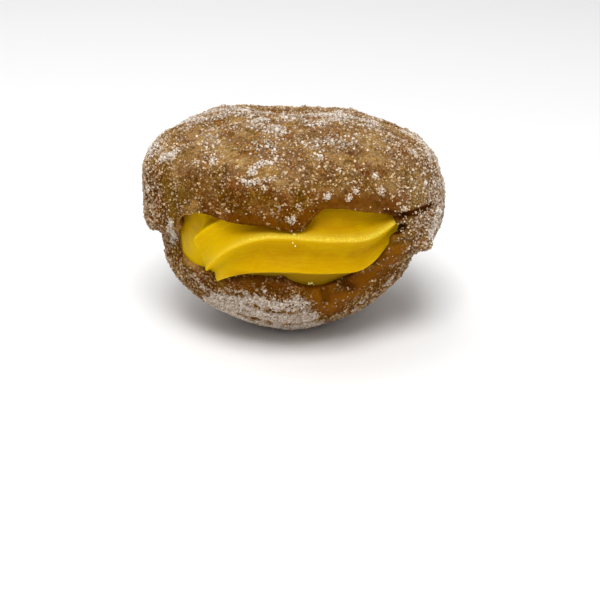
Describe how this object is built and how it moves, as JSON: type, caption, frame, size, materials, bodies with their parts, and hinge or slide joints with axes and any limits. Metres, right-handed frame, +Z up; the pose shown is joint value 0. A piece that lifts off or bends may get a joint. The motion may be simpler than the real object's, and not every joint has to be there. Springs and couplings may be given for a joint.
{
  "type": "berliner",
  "caption": "Round fried berliner bun, slit across the front and filled with a fluted rope of piped egg cream, dusted all over with granulated sugar.",
  "frame": {"origin": "on the table, under the middle of the bun's outer box", "axes": "+X to the right as seen from the slit side, +Y from the slit to the uncut back, +Z up"},
  "size_m": [0.0965, 0.0914, 0.0711],
  "materials": {
    "crust": "fried yeast dough, brown mottled crust with a light oily sheen, coated with white granulated sugar",
    "egg_cream": "smooth bright yellow egg cream, glossy, piped through a star nozzle",
    "sugar": "clear white granulated sugar, loose crystals and small clumps"
  },
  "bodies": {
    "root": {"bun": "crust", "cream": "egg_cream"}
  },
  "joints": []
}
